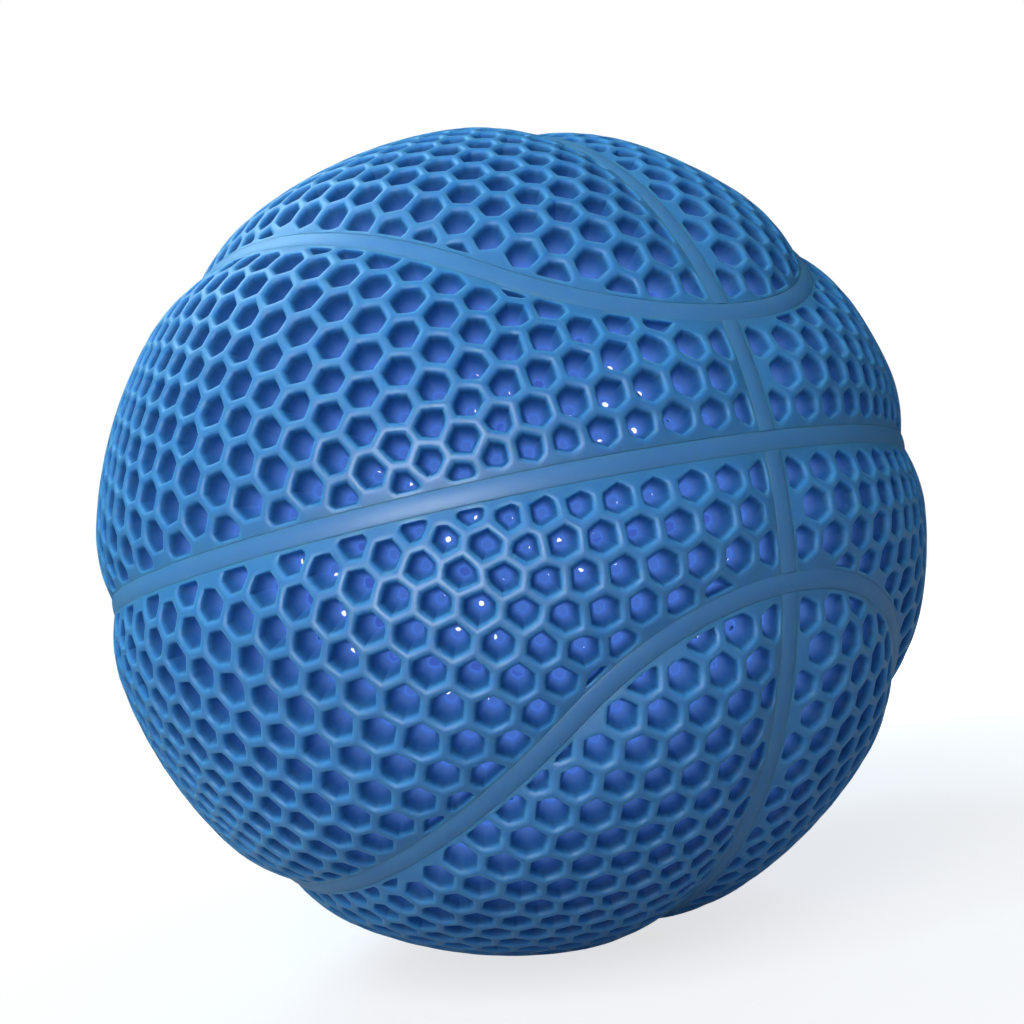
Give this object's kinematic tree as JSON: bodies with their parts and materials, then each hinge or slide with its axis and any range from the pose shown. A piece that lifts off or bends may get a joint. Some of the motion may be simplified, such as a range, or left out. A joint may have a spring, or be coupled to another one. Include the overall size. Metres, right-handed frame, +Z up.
{
  "type": "airless basketball",
  "caption": "Hollow basketball with an open honeycomb wall in pillowed panels, parted by smooth recessed seam strips; it bounces by flexing and holds no air.",
  "frame": {"origin": "centre of the ball", "axes": "+Z up through the middle of the upper oval field; the equator seam lies in XY and the meridian seam in YZ, and their crossing at the front faces -Y"},
  "size_m": [0.2366, 0.235, 0.2366],
  "materials": {
    "panel": "translucent blue elastomer, glossy in the cells, frosted on the struts",
    "seam": "translucent blue elastomer, satin"
  },
  "bodies": {
    "root": {"upper_right_panel": "panel", "upper_left_panel": "panel", "lower_right_panel": "panel", "lower_left_panel": "panel", "top_right_panel": "panel", "top_left_panel": "panel", "bottom_right_panel": "panel", "bottom_left_panel": "panel", "equator_strip": "seam", "upper_oval_strip": "seam", "lower_oval_strip": "seam", "top_strip": "seam", "bottom_strip": "seam", "front_upper_strip": "seam", "front_lower_strip": "seam", "back_upper_strip": "seam", "back_lower_strip": "seam"}
  },
  "joints": []
}
